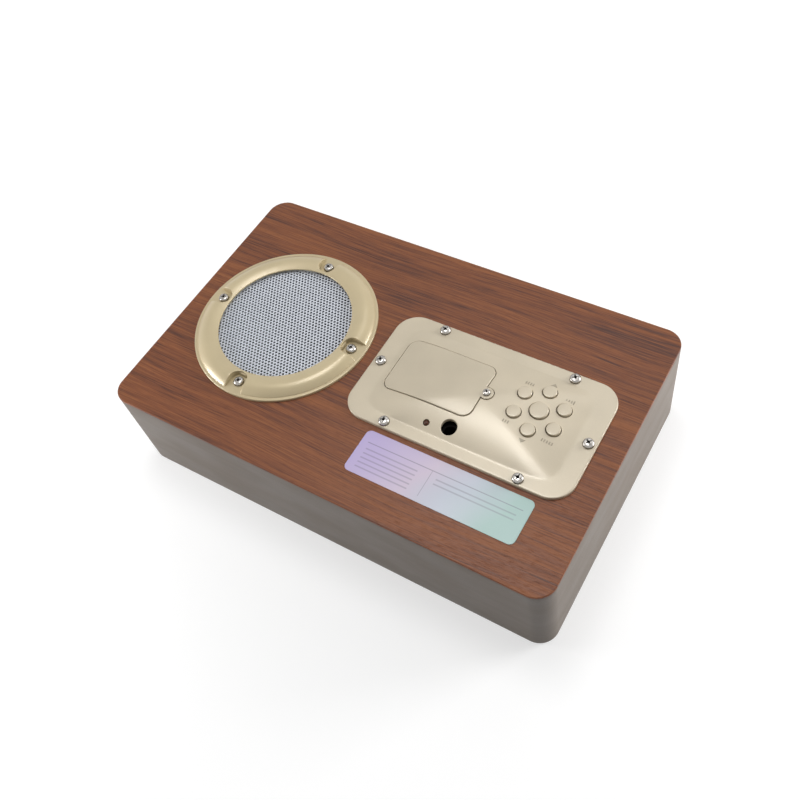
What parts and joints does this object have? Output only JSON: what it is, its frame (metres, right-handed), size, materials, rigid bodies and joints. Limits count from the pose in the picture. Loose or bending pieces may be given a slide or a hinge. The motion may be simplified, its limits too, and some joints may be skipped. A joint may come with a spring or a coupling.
{
  "type": "desk clock",
  "caption": "Wooden desk clock lying on its face, back up: round speaker grille in a gold ring, and a gold control panel with push buttons, battery cover and power socket.",
  "frame": {"origin": "middle of the clock's front rim, on the surface that the clock lies on", "axes": "+Z out of the clock's back, +X along its long side, +Y towards its top as it stands in use"},
  "size_m": [0.25, 0.1556, 0.0645],
  "materials": {
    "walnut_laminate": "satin walnut foil with fine dark streaks along X",
    "taupe_lacquer": "smooth satin taupe-brown lacquer",
    "fibreboard": "raw medium density fibreboard",
    "pine": "raw softwood",
    "smoked_acrylic": "polished smoked acrylic",
    "gold_plastic": "satin champagne gold lacquer with a fine metallic fleck",
    "white_steel": "white powder coat on perforated steel",
    "nickel": "bright nickel plate",
    "black_plastic": "moulded black plastic",
    "black_steel": "black baked enamel",
    "bright_steel": "zinc-plated steel",
    "ferrite": "sintered ferrite",
    "paper_cone": "black pressed paper pulp",
    "rubber": "soft black rubber",
    "amber_cloth": "resin-dipped corrugated cloth",
    "copper": "lacquered copper winding",
    "circuit_green": "green solder mask on glass laminate",
    "silicone": "translucent grey silicone",
    "battery_foil": "silver laminate pouch, blank",
    "lamp_glass": "amber diffused lamp body, unlit",
    "label_film": "pearly film fading from lavender to mint, blank",
    "digit_face": "dark digit module with pale segments",
    "lead_skin": "black insulated lead"
  },
  "bodies": {
    "case": {"cabinet_frame": "taupe_lacquer", "front_board": "walnut_laminate", "back_board": "fibreboard", "back_laminate": "walnut_laminate", "display_lens": "smoked_acrylic", "display_colon": "digit_face", "display_board": "circuit_green", "speaker_ring": "gold_plastic", "speaker_grille": "white_steel", "speaker_gasket": "rubber", "speaker_basket": "black_steel", "speaker_surround": "rubber", "speaker_spider": "amber_cloth", "speaker_top_plate": "bright_steel", "speaker_magnet": "ferrite", "speaker_yoke": "bright_steel", "control_panel": "gold_plastic", "battery_tray": "black_plastic", "backup_cell": "battery_foil", "control_board": "circuit_green", "key_mat": "silicone", "power_socket": "black_plastic", "socket_pin": "nickel", "indicator_lamp": "lamp_glass", "rating_label": "label_film", "speaker_lead": "lead_skin", "display_lead": "lead_skin", "corner_block_1": "pine", "display_digit_1": "digit_face", "ring_screw_1": "nickel", "corner_block_2": "pine", "display_digit_2": "digit_face", "ring_screw_2": "nickel", "corner_block_3": "pine", "display_digit_3": "digit_face", "ring_screw_3": "nickel", "corner_block_4": "pine", "display_digit_4": "digit_face", "ring_screw_4": "nickel", "panel_screw_1": "nickel", "panel_screw_2": "nickel", "panel_screw_3": "nickel", "panel_screw_4": "nickel", "panel_screw_5": "nickel", "panel_screw_6": "nickel"},
    "battery_cover": {"battery_cover": "gold_plastic", "cover_screw": "nickel"},
    "speaker_cone": {"speaker_cone": "paper_cone", "speaker_dust_cap": "paper_cone", "speaker_voice_coil": "copper"},
    "button_centre": {"button_centre": "gold_plastic"},
    "button_upper_right": {"button_upper_right": "gold_plastic"},
    "button_up": {"button_up": "gold_plastic"},
    "button_upper_left": {"button_upper_left": "gold_plastic"},
    "button_lower_left": {"button_lower_left": "gold_plastic"},
    "button_down": {"button_down": "gold_plastic"},
    "button_lower_right": {"button_lower_right": "gold_plastic"}
  },
  "joints": [
    {"name": "button_centre_press", "type": "slide", "parent": "case", "child": "button_centre", "axis": [0, 0, -1], "range_m": [0, 0.0004], "stiffness_N_per_m": 900},
    {"name": "button_upper_right_press", "type": "slide", "parent": "case", "child": "button_upper_right", "axis": [0, 0, -1], "range_m": [0, 0.0004], "stiffness_N_per_m": 900},
    {"name": "button_up_press", "type": "slide", "parent": "case", "child": "button_up", "axis": [0, 0, -1], "range_m": [0, 0.0004], "stiffness_N_per_m": 900},
    {"name": "button_upper_left_press", "type": "slide", "parent": "case", "child": "button_upper_left", "axis": [0, 0, -1], "range_m": [0, 0.0004], "stiffness_N_per_m": 900},
    {"name": "button_lower_left_press", "type": "slide", "parent": "case", "child": "button_lower_left", "axis": [0, 0, -1], "range_m": [0, 0.0004], "stiffness_N_per_m": 900},
    {"name": "button_down_press", "type": "slide", "parent": "case", "child": "button_down", "axis": [0, 0, -1], "range_m": [0, 0.0004], "stiffness_N_per_m": 900},
    {"name": "button_lower_right_press", "type": "slide", "parent": "case", "child": "button_lower_right", "axis": [0, 0, -1], "range_m": [0, 0.0004], "stiffness_N_per_m": 900},
    {"name": "battery_cover_lift", "type": "hinge", "parent": "case", "child": "battery_cover", "pos_m": [0.0035, 0.0025, 0.05905], "axis": [0, -1, 0], "range_deg": [0, 75]},
    {"name": "speaker_cone_travel", "type": "slide", "parent": "case", "child": "speaker_cone", "axis": [0, 0, 1], "range_m": [-0.0012, 0.0012], "stiffness_N_per_m": 1500, "deforming": ["speaker_surround", "speaker_spider"]}
  ]
}
